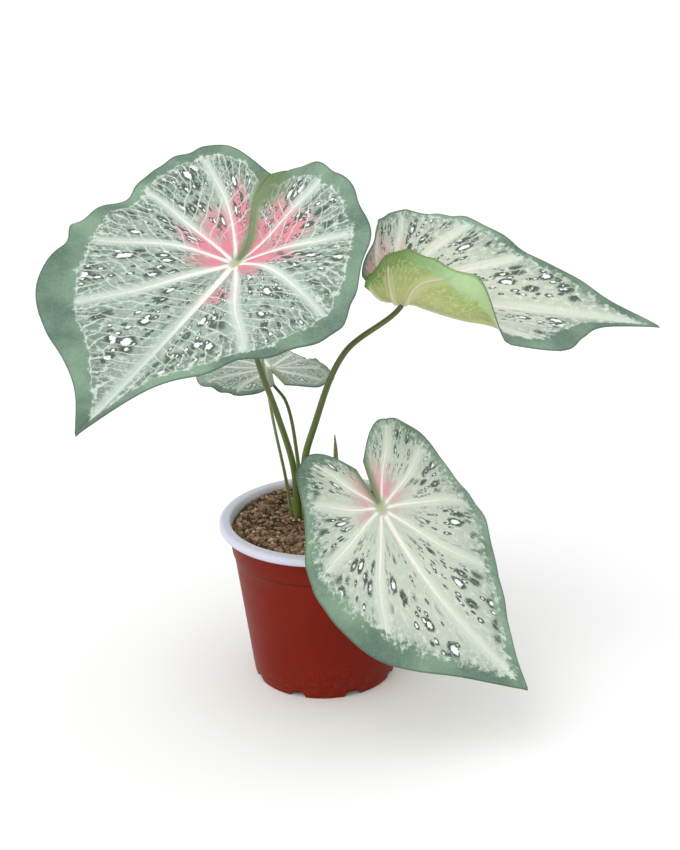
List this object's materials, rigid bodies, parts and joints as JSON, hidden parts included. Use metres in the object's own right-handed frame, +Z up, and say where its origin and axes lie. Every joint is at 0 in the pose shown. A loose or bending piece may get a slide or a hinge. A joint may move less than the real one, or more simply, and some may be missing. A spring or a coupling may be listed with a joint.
{
  "type": "caladium",
  "caption": "Potted caladium with broad heart-shaped leaves on slender arching stalks, growing from soil in a tapered nursery pot with a rolled rim.",
  "frame": {"origin": "centre of the pot's flat base, on the surface it stands on", "axes": "+Z up along the pot's axis; -Y is the front, where one leaf hangs over the rim; +X is the side the folded leaf points to"},
  "size_m": [0.3324, 0.2835, 0.3115],
  "materials": {
    "pot": "satin",
    "soil": "rough",
    "tuber": "rough",
    "stalk": "satin",
    "blade": "satin"
  },
  "bodies": {
    "root": {"pot": "pot", "soil": "soil", "tuber": "tuber", "stalk_left": "stalk", "stalk_right": "stalk", "stalk_front": "stalk", "stalk_back": "stalk", "young_leaf_tall": "stalk", "young_leaf_short": "stalk", "blade_left": "blade", "blade_right": "blade", "blade_front": "blade", "blade_back": "blade"}
  },
  "joints": []
}
